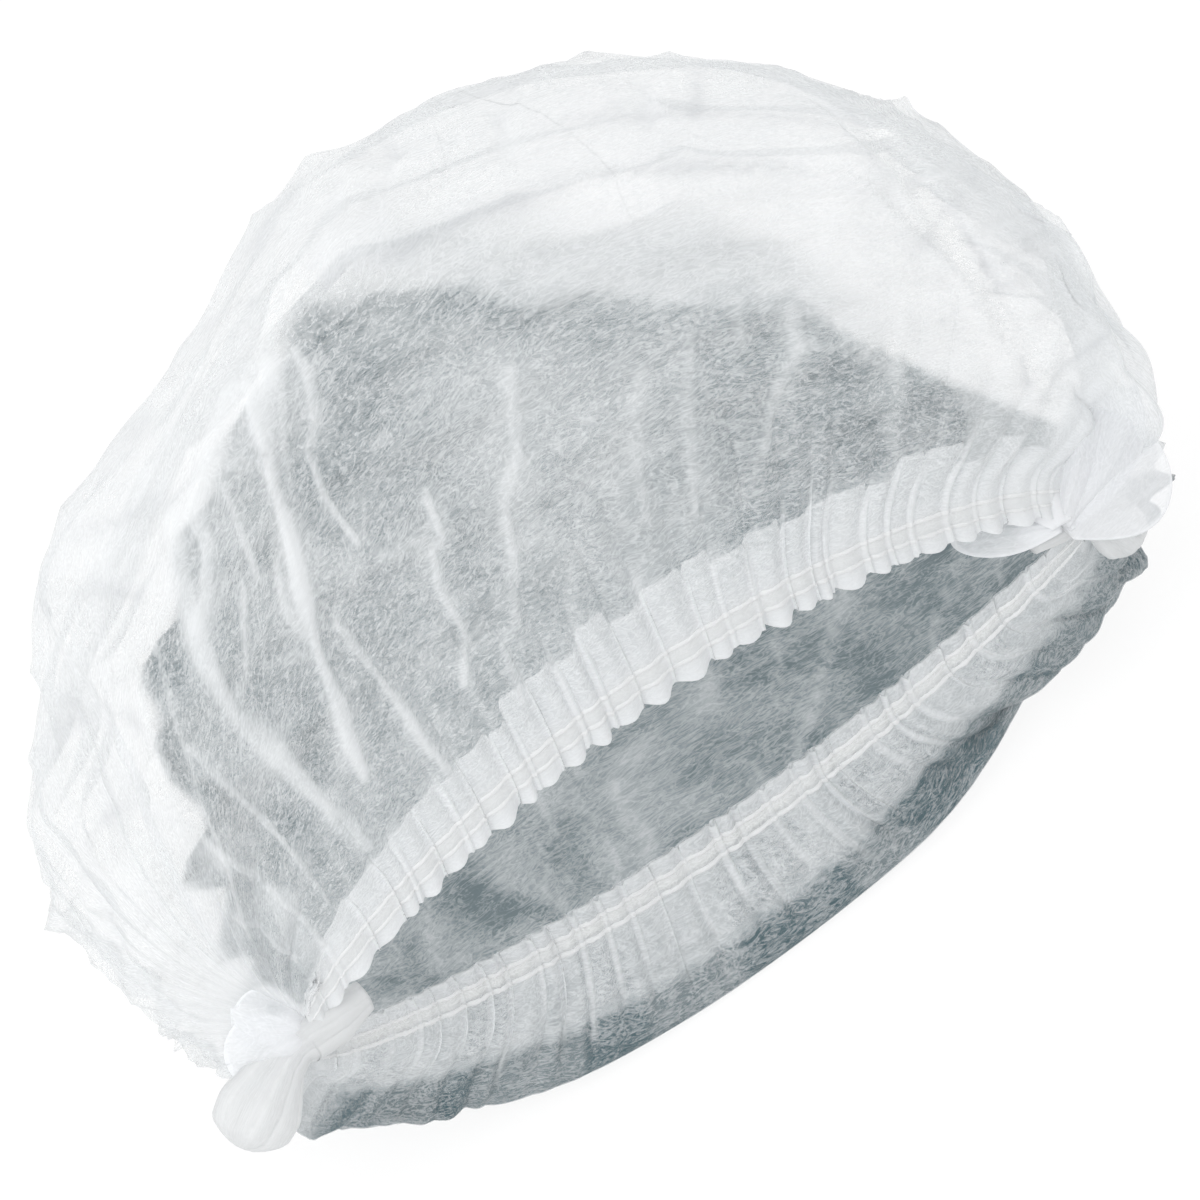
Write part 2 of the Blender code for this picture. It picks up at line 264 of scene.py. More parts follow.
# height and width in millimetres and plies, then each corner's along in thousandths and cloth
# in millimetres; the last 13 are soft folds of the rim
PINCHES = table("""
2.7 3.6 5.3 377 125 357 121 337 110 324 99 310 89 295 77 285 66 274 56 268 46
1.5 1.7 2.8 389 123 385 117 372 109 360 106 352 95 353 83
1.5 1.7 2.7 365 127 351 120 337 110
1.2 1.6 2.3 320 120 308 111 298 102
2.1 2.9 3.2 360 129 331 126 301 124 294 119 269 114 260 115
3 4.7 3.2 295 129 268 120 249 112 233 96 233 75 232 46 237 31
1.4 1.7 2.7 289 105 256 96 243 96
1.4 1.7 2.4 310 99 298 92 295 84
1.8 2 3.2 315 76 315 63 315 51 314 37 318 25
1.5 1.8 3 399 76 394 66 384 66 376 60 374 46 357 38
1.8 2.3 1.9 472 85 455 69 434 62 419 50 406 40 391 37 385 23
.8 1.5 1.6 328 124 340 114
.8 1.5 1.9 266 91 290 79
.8 1.5 1.6 359 75 387 69
.8 1.7 1 455 67 478 65
.8 1.5 1.6 423 53 447 50
1.7 2.3 1.7 595 70 598 61 591 56 582 50 573 41
1.4 2 1.5 598 61 624 57 656 47
1.2 2 1.2 527 70 511 53 505 41
1.4 2 1.4 553 73 540 55 530 35
1.2 2 1.2 573 76 572 65
1.4 2 1.9 239 126 210 118 177 107 147 94 103 86
1.8 2.5 2 152 118 152 100 153 74 149 45 143 15
1.5 2 2 199 112 195 90 190 64 180 36
1.5 2 2 112 96 112 71 108 42
.9 1.5 1.8 377 123 359 115 343 106
-2.3 2.8 2 467 145 422 127
-2.3 2.8 2 494 144 454 127
-2.3 2.5 2 452 155 385 137
-1.9 2.5 2 380 143 325 143
-1.9 2.5 2 305 145 266 149 228 150
-2.3 3 2 248 182 199 157 151 151
-2.7 3.5 2 176 225 112 223 60 321
-1.9 2.5 2 538 144 519 124
-1.9 2.5 2 593 139 573 119
-1.9 2.5 2 653 121 658 90
-2.3 2.5 2.4 707 79 792 99
-2.3 2.5 2.4 712 71 779 83
-1.9 2.5 2.4 672 92 727 103
""")
# strength of a line's plies and painted shade, and width in millimetres, then the corners
SHADED_FOLD_LINES = table("""
.6 1.4 414 160 457 159 509 140 568 123 655 108 692 100
.6 1.6 268 185 303 162 372 155 424 154
1 1.5 663 115 685 93 715 67 762 40
.8 1.4 422 126 449 118 478 116 509 114 548 110 577 105 607 100 635 94 660 83 685 71 714 58 764 40
1.6 1.3 447 119 470 116 489 115 509 113
.7 1.8 238 181 256 134
.8 2.2 184 204 201 130
.7 2 129 228 156 119
.7 1.8 270 159 305 130
.8 2.2 323 159 352 134
.6 1.6 201 183 184 148 161 130
.7 2 571 166 531 137
.7 2.2 623 143 591 118
.8 2 677 116 648 98
.6 1.6 598 159 566 127
.9 2 702 90 663 76
.9 2 732 68 682 58
.7 1.8 505 165 494 144
.8 2 826 65 779 37
.7 1.8 110 235 60 262
.7 1.8 380 160 400 137
.7 1.8 760 118 715 95
.7 1.8 800 95 745 80
""")


def flat_line(corners):
    """Corners as along and metres of cloth, from along in thousandths and cloth in millimetres
    in turn."""
    return np.reshape(corners, (-1, 2)) / (1000, 1) * (1, .001)


def from_line(along, cloth, corners):
    """Metres on the flat cloth to a line through corners: the least over its straight runs."""
    corners = corners * (ALONG_METRES, 1)
    place = np.stack([along * ALONG_METRES, cloth], -1)
    nearest = np.full(along.shape, np.inf)
    for start, stop in zip(corners, corners[1:]):
        run = stop - start
        share = np.clip((place - start) @ run / (run @ run), 0, 1)
        away = np.linalg.norm(place - start - share[..., None] * run, axis=-1)
        nearest = np.minimum(nearest, away)
    return nearest


def soft_waves(along, cloth, length, seed, waves=16):
    """A smooth random field of mean 0 and spread 1: cosines about length metres long, of random
    direction and start, added and multiplied by the square root of 2 / waves."""
    rng = np.random.default_rng(seed)
    total = np.zeros_like(along)
    for _ in range(waves):
        way, start = rng.uniform(0, 2 * np.pi, 2)
        pace = 2 * np.pi / (length * rng.uniform(.7, 1.5))
        total += np.cos(pace * (np.cos(way) * along * ALONG_METRES + np.sin(way) * cloth) + start)
    return total * np.sqrt(2 / waves)


def pinched_creases(along, cloth):
    """Height and plies of every crease, for a distance of d widths: 0.6 exp(-(d / 0.7) ** 2) of
    the table's height, and 0.75 exp(-(d / 0.6) ** 4) + 0.25 exp(-(d / 1.6) ** 2) of its plies.
    Both come and go along a crease."""
    height, plies = np.zeros_like(along), np.zeros_like(along)
    uneven = 1 + .20 * soft_waves(along, cloth, .024, 77).clip(-1.6, 1.6)
    for lift, width, more, *corners in PINCHES:
        away = from_line(along, cloth, flat_line(corners)) * 1000 / (width * uneven)
        height += .6 * lift / 1000 * bell(away, .7)
        plies += more * (.75 * bell(away, .60, 4) + .25 * bell(away, 1.6))
    plies *= .88 + .16 * soft_waves(along, cloth, .05, 80).clip(-1.5, 1.2)
    return height, plies


# painted shade: where these lines lie, the outer cloth is coloured greyer, for the shade along the
# folds
def shaded_fold_lines(along, cloth):
    """How far each place lies in a pressed line, 0 to 1.2: a narrow line inside a soft one,
    0.75 exp(-(d / 0.7) ** 2) + 0.25 exp(-(d / 2.2) ** 2), d in widths."""
    uneven = 1 + .35 * soft_waves(along, cloth, .02, 83).clip(-1.6, 1.6)
    total = np.zeros_like(along)
    for strength, width, *corners in SHADED_FOLD_LINES:
        away = from_line(along, cloth, flat_line(corners)) * 1000 / (width * uneven)
        total += strength * (.75 * bell(away, .7) + .25 * bell(away, 2.2))
    total *= .80 + .3 * soft_waves(along, cloth, .05, 84).clip(-1.5, 1.5)
    return total.clip(0, 1.2)


print(len(PINCHES), "creases and", len(SHADED_FOLD_LINES), "pressed lines")

# %% [markdown]
# ## Plies, pleats and puffs
# Above the front panel the cloth lies folded on itself in a strip, and near the gathered ends
# the pleats pile up. A single ply shows what is behind it, and a few plies look white. So each
# place gets a ply count beside its height, and the finish turns the count into cover.

# %% Strips, pleats and puffs
PANEL_TOP = flat_line(numbers("""
    98 115  158 117  201 119  233 126  287 127  343 126  407 126  420 124  437 118  456 110  489 98
    522 90  553 80  574 76  598 69  638 56  677 45  701 40  720 30  749 5  802 1"""))
STRIP_TOP = flat_line(numbers("""
    399 128  422 125  449 117  478 115  509 113  548 109  577 104  607 99  635 93  660 82  685 70
    714 57  764 39  822 24  876 3  901 2"""))
RIBBON = flat_line(numbers("665 108  687 82  728 56  789 33  850 16"))
PLEATS = numbers("""0 22 42 76 112 150 178 204 228 252 274 297 318 340 363 384 407 430 456 482
    508""") / 508
# height and width in millimetres, then the line's two ends
BROAD_RIDGES = table("""
3 11 160 126 425 130
3 11 425 130 640 56
3.5 9 460 124 640 99
3.5 9 640 99 800 36
""")
# along, cloth, height, half width along, half width of cloth, in thousandths and millimetres
PUFFS = table("""
780 140 -10.5 180 85
935 90 13 65 80
380 200 -15 150 85
270 250 -12 120 90
420 75 -4 220 42
""", 1000)
OUTLINE_WIDTHS = (.062, .048)
# along in thousandths, cloth in millimetres, height in tenths of a millimetre
OUTLINE_PUFFS = table("""
930 90 -24
875 97 -60
820 102 -19
765 115 -46
715 150 -36
665 148 -15
620 155 -31
575 162 -12
530 178 -13
440 168 46
395 168 37
350 168 5
305 168 11
262 172 49
235 190 17
205 214 7
180 245 3
170 285 -7
125 360 -52
130 405 -70
150 325 -38
190 440 -49
235 455 -56
280 462 -30
330 462 -48
380 464 -29
620 462 -55
665 460 -110
710 460 -56
760 458 -41
815 448 -65
860 440 -63
""", 1000, 1000, 10000)


def puff_height(along, cloth, rows, widths=()):
    """Round bumps and dents: height * (1 - a a - c c) ** 2, where a and c are how far off its
    middle a place is, in half widths, and nothing outside."""
    total = np.zeros_like(along)
    for row in rows:
        middle, across, height, half_along, half_cloth = (*row, *widths)
        off_along = (along - middle) / half_along
        off_cloth = (cloth - across) / half_cloth
        total += height * np.clip(1 - off_along**2 - off_cloth**2, 0, 1) ** 2
    return total


def crumples(along, cloth):
    """Facets between thin raised lines: exp(-2.2 |waves|) of two sizes, less its mean, higher
    round the back."""
    large, small = (np.exp(-2.2 * np.sqrt(soft_waves(along, cloth, *kind) ** 2 + .006)) - .42
                    for kind in ((.1, 41), (.04, 42)))
    round_the_back = grow(.115, .15, cloth)
    far_back = grow(.24, .30, cloth)
    return ((1.2 + 3.6 * round_the_back + 3.4 * far_back) * large
            + (.5 + 1.8 * round_the_back + 1.8 * far_back) * small) / 1000


def packed_pleats(along, cloth):
    """Pleats from one gathered end to the other: sin(pi phase ** skew) ** 0.8 across a cell of
    cloth, or squared round the back, where the sheet's rows lie further apart. They rise from
    the ring, nearly vanish over the front panel, and stay round the back. The valleys hold more
    plies near the ends."""
    end = from_end(along)
    right = grow(.45, .75, along)
    wander = .10 * soft_waves(along, cloth, .12, 74) / len(PLEATS)
    cell, phase = in_cells(np.clip(cloth / CLOTH_ACROSS + wander, 0, .9999), PLEATS)
    size = np.random.default_rng(17).uniform(.65, 1.2, len(PLEATS))[cell]
    smooth = grow(.14, .17, cloth) * fade(.43, .45, cloth)
    lobe = np.sin(np.pi * phase ** (1 + .5 * right))
    lobe = (1 - smooth) * (lobe ** .8 - .6) + smooth * 1.1 * (lobe**2 - .5)
    wide = (np.diff(PLEATS)[cell] * 20) ** .6
    round_the_back = grow(.15, .2, cloth) * fade(.42, .45, cloth)
    longer = .12 * grow(.17, .3, cloth)
    over_crown = fade(.11 + longer, .26 + longer, end)
    stay = over_crown + (1 - over_crown) * (.06 + .94 * round_the_back)
    hidden_side = .15 * grow(.17, .23, cloth) + .65 * grow(.3, .35, cloth)
    hidden_side = hidden_side * (1 - right) * (.15 + 1.35 * grow(.20, .32, along))
    lift = .0044 + .0014 * right + .0012 * grow(.10, .20, end) + .009 * hidden_side
    height = lift * size * wide * stay * grow(.02, .10, end) * lobe
    height *= 1 - .6 * fade(.16, .28, along) * grow(.15, .20, cloth)
    valley = bell(np.minimum(phase, 1 - phase), .09)
    plies = 1.1 * valley * fade(.10, .20, end) + .5 * valley * round_the_back
    plies += 2.6 * fade(.015, .075, end)
    return height, plies


def broad_folds(along, cloth):
    """Height and plies of the puffed rim over the panel and of the strip that turns down to the
    right end, with a step up at the panel's end and a sunk ribbon beside the strip. The rim is
    doubled in patches with clear edges: tanh of soft waves."""
    height = np.zeros_like(along)
    for lift, width, *ends in BROAD_RIDGES:
        height += lift / 1000 * bell(from_line(along, cloth, flat_line(ends)) * 1000, width)
    wobble = .0022 * soft_waves(along, cloth, .03, 61)
    past_panel = cloth - np.interp(along, *PANEL_TOP.T) + wobble
    past_strip = cloth - np.interp(along, *STRIP_TOP.T) + wobble
    in_panel = fade(-.001, .001, past_panel) * grow(.146, .154, along + 3 * wobble)
    in_strip = (1 - in_panel) * fade(-.001, .001, past_strip) * grow(.41, .42, along)
    height += .0022 * grow(-.003, .0015, past_panel) * grow(.15, .22, along)
    height += .0018 * bell(past_strip, .0022) * grow(.42, .48, along)
    ribbon = bell(from_line(along, cloth, RIBBON), .0048, 4)
    height -= .003 * ribbon
    rim = .35 + .5 * fade(.17, .30, cloth)
    plies = .95 + in_strip * .9 + (1 - in_panel) * (1 - in_strip) * rim
    plies += 2.5 * grow(.70, .86, along) * fade(.03, .09, cloth)
    plies += .75 * np.exp(-(((along - .49) / .11) ** 2 + ((cloth - .068) / .036) ** 2))
    plies += .22 * in_panel * soft_waves(.6 * along, 1.6 * cloth, .04, 78).clip(-1.5, 2)
    plies -= .30 * in_panel * grow(-.032, -.006, past_panel)
    plies -= .22 * in_panel * fade(.055, .085, cloth) * fade(.42, .50, along)
    doubled = np.tanh(6 * soft_waves(1.5 * along, .55 * cloth, .045, 79))
    plies += .40 * (1 - in_panel) * (1 - .5 * in_strip) * doubled
    plies += 4.0 * grow(.86, .93, along) * fade(.025, .055, cloth)
    plies -= .9 * ribbon
    return height, plies


def folds(along, cloth, pleated=True):
    """Height above the smooth sheet, ply count, and shifts across and lengthwise. All folds die
    away near the floor. The frill's lobes also reach past the fold, and its valleys fall short
    of it."""
    edge, end = from_fold(cloth), from_end(along)
    crown, past_hem = grow(.03, .08, edge), grow(.012, .03, edge)
    height, plies, lobe, lengthwise_shift = gathers(along, cloth, pleated)
    puffed = puff_height(along, cloth, PUFFS) + crumples(along, cloth) * grow(.05, .15, end)
    height += puffed * crown
    height += puff_height(along, cloth, OUTLINE_PUFFS, OUTLINE_WIDTHS) * grow(.014, .036, edge)
    pleat_height, pleat_plies = packed_pleats(along, cloth)
    pinch_height, pinch_plies = pinched_creases(along, cloth)
    broad_height, broad_plies = broad_folds(along, cloth)
    pinch_height = pinch_height + broad_height * crown
    height += pleat_height * grow(.015, .05, edge) + pinch_height * past_hem
    plies += pleat_plies + pinch_plies * past_hem + broad_plies
    plies += .9 * fade(.0003, .0012, edge)
    lift = grow(.003, .018, sheet_point(along, cloth)[..., 2])
    scallop = .0014 * lobe * np.clip(1 - edge / .0045, 0, 1) * grow(.02, .08, end)
    across_shift = np.where(cloth < CLOTH_ACROSS / 2, -scallop, scallop)
    return height * lift, plies, across_shift, lengthwise_shift


# %% [markdown]
# ## From places to a wall
# A cloth piece is two grids of points, one for each face, joined round their four borders, so
# that even thin cloth is a closed body. Each point keeps its ply count and its place on the flat
# cloth, in metres, as a UV map for the patterns of the fibres.

# %% Closed walls of cloth
FLAT_CLOTH = "flat cloth"


def link_piece(name, mesh, nodes):
    """Puts a finished mesh into the scene, on the cap's one body, in place of CAD nodes."""
    piece = bpy.data.objects.new(name, mesh)
    scene.collection.objects.link(piece)
    mesh.shade_smooth()
    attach(piece, "root")
    if nodes:
        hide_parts(*nodes)
    return piece


def keep_values(mesh, places, values):
    """Stores a UV map, given for each point, and one number for each point under each name."""
    corner = np.empty(len(mesh.loops), np.int32)
    mesh.loops.foreach_get("vertex_index", corner)
    layer = mesh.uv_layers.new(name=FLAT_CLOTH)
    layer.data.foreach_set("uv", places[corner].astype(np.float32).reshape(-1))
    for name, value in values.items():
        made = mesh.attributes.new(name, "FLOAT", "POINT")
        made.data.foreach_set("value", value.astype(np.float32))


def wall_mesh(name, outer, inner, uv, values, materials):
    """A closed body between two grids of points of the same size. The outer face and the
    borders take the first material, and the inner face the last."""
    columns, rows = outer.shape[:2]
    count = columns * rows
    number = np.arange(count).reshape(columns, rows)
    top = np.stack([number[:-1, :-1], number[1:, :-1], number[1:, 1:], number[:-1, 1:]], -1)
    top = top.reshape(-1, 4)
    borders = [
        np.stack([edge[1:], edge[:-1], edge[:-1] + count, edge[1:] + count], -1)
        for edge in (number[:, 0], number[-1, :], number[::-1, -1], number[0, ::-1])
    ]
    faces = np.concatenate([top, top[:, ::-1] + count, *borders])
    mesh = bpy.data.meshes.new(name)
    points = np.concatenate([outer.reshape(-1, 3), inner.reshape(-1, 3)])
    mesh.from_pydata(points.tolist(), [], faces.tolist())
    twice = {field: np.tile(value.reshape(-1), 2) for field, value in values.items()}
    keep_values(mesh, np.tile(uv.reshape(-1, 2), (2, 1)), twice)
    for material in materials:
        mesh.materials.append(material)
    inside = np.zeros(len(faces), np.int32)
    inside[len(top):2 * len(top)] = len(materials) - 1
    mesh.polygons.foreach_set("material_index", inside)
    return mesh


def on_flat_cloth(along, cloth):
    """Places on the flat cloth in metres, for the UV map."""
    return np.stack([along * CLOTH_LENGTHWISE, cloth], -1)


def sheet_face(along, cloth, pleated=True):
    """The folded sheet's outer face, its outward direction and its ply count."""
    normal, across = sheet_directions(along, cloth)
    lengthwise = np.cross(across, normal)
    height, plies, across_shift, lengthwise_shift = folds(along, cloth, pleated)
    face = sheet_point(along, cloth) + height[..., None] * normal
    face += across_shift[..., None] * across + lengthwise_shift[..., None] * lengthwise
    face[..., 2] = np.maximum(face[..., 2], 0)
    return face, normal, plies


def wall_directions(face):
    """The outward direction of a folded grid at each point: the cross product of its two runs."""
    return unit(np.cross(np.gradient(face, axis=0), np.gradient(face, axis=1)))


def cloth_area(face):
    """Area of a grid of points: half the length of the cross product of each cell's diagonals."""
    one, other = face[1:, 1:] - face[:-1, :-1], face[1:, :-1] - face[:-1, 1:]
    return np.linalg.norm(np.cross(one, other), axis=-1).sum() / 2


# %% [markdown]
# ## Finishes
# Spunbonded nonwoven is a felt of fine white fibres laid down at random and pressed together in
# small dots. One ply covers under half of what is behind it, with clouds where more fibres fell
# and curled strands between. We work that out from noise on the flat cloth, and n plies cover
# 1 - (1 - cover) to the power of n. A painted image would not stay sharp at every scale.

# %% Node helpers
def feed(node, **inputs):
    """Links each value into the node's input if it is an output, and sets it if it is a number
    or colour. Input names have _ for a space, and input 0 is _0."""
    for name, value in inputs.items():
        name = int(name[1:]) if name[0] == "_" else name.replace("_", " ")
        if isinstance(value, bpy.types.NodeSocket):
            node.id_data.links.new(value, node.inputs[name])
        else:
            node.inputs[name].default_value = value
    return node


def make_node(tree, kind, settings=(), **inputs):
    """A node with its settings and its inputs."""
    made = tree.nodes.new(kind)
    for name, value in dict(settings).items():
        setattr(made, name, value)
    return feed(made, **inputs)


def new_finish(name, **inputs):
    """A material, its node tree and its standard shader, with these inputs."""
    material = bpy.data.materials.new(name)
    material.use_nodes = True
    return material, material.node_tree, feed(material.node_tree.nodes["Principled BSDF"], **inputs)


def calculate(tree, operation, first, second=0.0, clamp=False):
    """One sum of two numbers or outputs, such as MULTIPLY or POWER."""
    settings = {"operation": operation, "use_clamp": clamp}
    return make_node(tree, "ShaderNodeMath", settings, _0=first, _1=second).outputs[0]


def multiplied(tree, first, second, clamp=False):
    return calculate(tree, "MULTIPLY", first, second, clamp)


def spread_sum(tree, *patterns):
    """The sum of patterns between 0 and 1, each made into one between -amount and amount."""
    total = None
    for value, amount in patterns:
        spread = multiplied(tree, calculate(tree, "SUBTRACT", value, .5), 2 * amount)
        total = calculate(tree, "ADD", total, spread) if total else spread
    return total


def mixed(tree, share, first, second):
    """A colour between two: first where share is 0, second where it is 1."""
    made = make_node(tree, "ShaderNodeMix", {"data_type": "RGBA"}, Factor=share, A=first, B=second)
    return made.outputs["Result"]


def shaders_mixed(tree, share, first, second):
    """A shader between two: first where share is 0, second where it is 1."""
    return make_node(tree, "ShaderNodeMixShader", _0=share, _1=first.outputs[0],
                     _2=second.outputs[0])


def kept_value(tree, name):
    """The number that the mesh keeps under this name."""
    return make_node(tree, "ShaderNodeAttribute", {"attribute_name": name}).outputs["Fac"]


def flat_place(tree):
    """The place on the flat cloth, from the mesh's UV map."""
    return make_node(tree, "ShaderNodeUVMap", {"uv_map": FLAT_CLOTH}).outputs[0]


def add_bump(tree, shader, height, strength, distance):
    """Tilts the shader's surface by a pattern of heights."""
    bump = make_node(tree, "ShaderNodeBump", Height=height, Strength=strength, Distance=distance)
    feed(shader, Normal=bump.outputs[0])


def noise(tree, where, scale, detail=2.0, distortion=0.0, stretch=(1, 1, 1)):
    """Smooth random pattern from 0 to 1, scale blobs to the metre, stretched along the axes."""
    mapped = make_node(tree, "ShaderNodeMapping", Vector=where, Scale=stretch)
    made = make_node(tree, "ShaderNodeTexNoise", Vector=mapped.outputs[0], Scale=scale,
                     Detail=detail, Distortion=distortion)
    return made.outputs["Fac"]


def strands(tree, where, scale, distortion, stretch, thin):
    """Curled lines: 1 where a distorted noise is at its middle value, falling to 0 beside it."""
    pattern = noise(tree, where, scale, 2.0, distortion, stretch)
    away = calculate(tree, "ABSOLUTE", calculate(tree, "SUBTRACT", pattern, .5))
    return calculate(tree, "SUBTRACT", 1.0, multiplied(tree, away, thin), clamp=True)


# %% The nonwoven
COVER_OF_PLY = .24
LIGHT_CLOTH = (.835, .85, .86, 1)
SHADED_CLOTH = (.08, .133, .152, 1)
# painted shade: a grey that the outer cloth takes along the pressed fold lines, standing in for the
# shade that falls along the folds
FOLD_SHADE_CLOTH = (.62, .635, .655, 1)
LET_THROUGH = .35
SHADE_COVER = .86
DOTS_PER_METRE, DOT_RADIUS, DOT_OPENNESS = 950, .28, .25


def nonwoven(name, light=LIGHT_CLOTH, dark=None, cover=COVER_OF_PLY, by_plies=True, dots=False,
             mottle=.095, pressed=None):
    """Fibre cloth. What is open between the fibres of all plies = (1 - cover) ** plies, times 1
    less clouds, strands and grain. Along pressed lines the colour pressed is painted shade of the
    folds, and the mesh's shade turns the cloth dark and closes it up."""
    material, tree, shader = new_finish(name, Roughness=.78, Specular_IOR_Level=.2)
    flat = flat_place(tree)
    curls = strands(tree, flat, 400, 2.6, (.34, 1.0, 1), thin=10.0)
    wisps = strands(tree, flat, 170, 3.6, (.40, 1.0, 1), thin=12.0)
    grain = noise(tree, flat, 1300, 1.0)
    clouds = noise(tree, flat, 70, 4.0, 1.2, (.7, 1, 1))
    uneven = spread_sum(tree, (curls, 1.1 * mottle), (wisps, .9 * mottle), (grain, .8 * mottle),
                        (clouds, .6 * mottle))
    openness = calculate(tree, "SUBTRACT", 1.0 - .9 * mottle, uneven)
    if dots:
        settings = {"feature": "F1", "voronoi_dimensions": "2D"}
        cells = make_node(tree, "ShaderNodeTexVoronoi", settings, Vector=flat,
                          Scale=DOTS_PER_METRE, Randomness=.35)
        dot = calculate(tree, "LESS_THAN", cells.outputs["Distance"], DOT_RADIUS)
        openness = calculate(tree, "ADD", openness, multiplied(tree, dot, DOT_OPENNESS))
    open_share = 1 - cover
    if by_plies:
        open_share = calculate(tree, "POWER", open_share, kept_value(tree, "plies"))
    open_share = multiplied(tree, open_share, openness)
    alpha = calculate(tree, "SUBTRACT", 1.0, open_share, clamp=True)
    colour = light
    # painted shade along the pressed fold lines: the colour pressed is mixed in by the mesh's
    # pressed value
    if pressed:
        line = multiplied(tree, kept_value(tree, "pressed"), .8, clamp=True)
        colour = mixed(tree, line, light, pressed)
    if dark:
        shade = kept_value(tree, "shade")
        closing = multiplied(tree, multiplied(tree, shade, 2.0, clamp=True), SHADE_COVER)
        alpha = calculate(tree, "MAXIMUM", alpha, closing)
        pattern = spread_sum(tree, (curls, .16), (grain, .14), (wisps, .10), (clouds, .40))
        pattern = calculate(tree, "SUBTRACT", .88, pattern)
        colour = mixed(tree, multiplied(tree, shade, pattern, clamp=True), light, dark)
    feed(shader, Base_Color=colour)
    add_bump(tree, shader, grain, .02, .0001)
    through = make_node(tree, "ShaderNodeBsdfTranslucent", Color=colour)
    between = make_node(tree, "ShaderNodeBsdfTransparent")
    cloth = shaders_mixed(tree, LET_THROUGH, shader, through)
    whole = shaders_mixed(tree, alpha, between, cloth)
    feed(tree.nodes["Material Output"], Surface=whole.outputs[0])
    return material


def elastic_finish():
    """Off-white rubber thread covered in fibre: fine ribs along it, from a wave of its UV map."""
    material, tree, shader = new_finish("elastic_cream", Roughness=.6)
    flat = flat_place(tree)
    ribs = make_node(tree, "ShaderNodeTexWave", {"bands_direction": "Y"}, Vector=flat, Scale=260,
                     Distortion=1.5, Detail=1.0)
    shade = noise(tree, flat, 300, 2.0)
    colour = mixed(tree, shade, (.73, .735, .725, 1), (.81, .815, .80, 1))
    feed(shader, Base_Color=colour)
    add_bump(tree, shader, ribs.outputs["Fac"], .4, .0002)
    return material


# the outer cloth is painted greyer along the fold lines, as shade
outer_cloth = nonwoven("nonwoven_outer", pressed=FOLD_SHADE_CLOTH)
inner_cloth = nonwoven("nonwoven_inner", dark=SHADED_CLOTH, cover=.04, by_plies=False)
hem_cloth = nonwoven("nonwoven_hem", (.86, .87, .88, 1), cover=.36, dots=True)
gathered_cloth = nonwoven("nonwoven_gathered", (.765, .775, .78, 1), cover=.60, mottle=.10)
bond_cloth = nonwoven("nonwoven_bonded", (.88, .885, .89, 1), cover=.85, by_plies=False,
                      mottle=.10)
flap_cloth = nonwoven("nonwoven_flap", (.885, .895, .91, 1), cover=.42, mottle=.04)
bare_inside = nonwoven("nonwoven_hem_inside", cover=.08, by_plies=False)
elastic_cream = elastic_finish()
print("finishes:", [m.name for m in bpy.data.materials])

# %% [markdown]
# ## The sheet
# The whole cloth from fold to fold, as one closed thin wall. Its rows lie close together in the
# hems and over the front panel, where the small folds are. The cap's inside is far darker than
# this scene's light would make it, so the sheet keeps a shade for each place of its inner face.

# %% Crown sheet
SHEET_THICKNESS = .0002
SHEET_ENDS_AT = .012
WIDEST_COLUMN = .0042
SEAM_AT = .545
COLUMN_PHASES = numbers("0 .03 .065 .110 .20 .32 .44 .56 .68 .80 .89 .935 .97")
HEM_ROWS = numbers(
    "0 .7 1.6 2.6 3.6 4.6 5.5 6.5 7.5 8.5 9.6 11 13 15 17.5 20 22.5 25 27.5") / 1000
SHEET_ROWS = np.concatenate([
    HEM_ROWS, np.arange(.029, .148, .0017), np.arange(.15, .44, .0046),
    np.linspace(.442, CLOTH_ACROSS - .029, 16), CLOTH_ACROSS - HEM_ROWS[::-1]])
SHADE_FROM = flat_line(numbers("""
    0 440  150 430  270 400  290 383  308 360  325 338  347 321  365 302  380 290  395 277  414 266
    437 259  454 251  486 237  519 245  538 256  573 272  603 282  638 294  658 298  680 307
    702 325  722 340  734 346  780 380  850 420  1000 440"""))
# along in thousandths, slant, how much lighter, half width in tenths of a millimetre
INSIDE_LINES = table("""
330 -1.3 .3 10
372 -1.6 .35 16
396 -1.2 .25 8
440 -1.5 .32 12
472 -1.1 .28 9
505 -1.5 .34 14
538 -1.2 .25 8
570 -1.6 .32 12
602 -1 .28 9
648 -1.4 .36 16
690 -1.1 .28 10
735 -1.2 .32 12
""", 1000, 1, 1, 10000)


def sheet_columns():
    """Places along the cloth, close together in the valleys of the gathers, and never further
    apart than WIDEST_COLUMN."""
    share = (GATHERS[:-1, None] + np.diff(GATHERS)[:, None] * COLUMN_PHASES).reshape(-1)
    places = np.arccos(1 - 2 * share) / np.pi
    first, last = SHEET_ENDS_AT, 1 - SHEET_ENDS_AT
    places = places[(places > first + .001) & (places < last - .001)]
    places = np.concatenate([[first], places, [last]])
    parts = np.ceil(np.diff(places) / WIDEST_COLUMN).astype(int)
    runs = [np.linspace(low, high, part, endpoint=False)
            for low, high, part in zip(places, places[1:], parts)]
    return np.concatenate([*runs, places[-1:]])


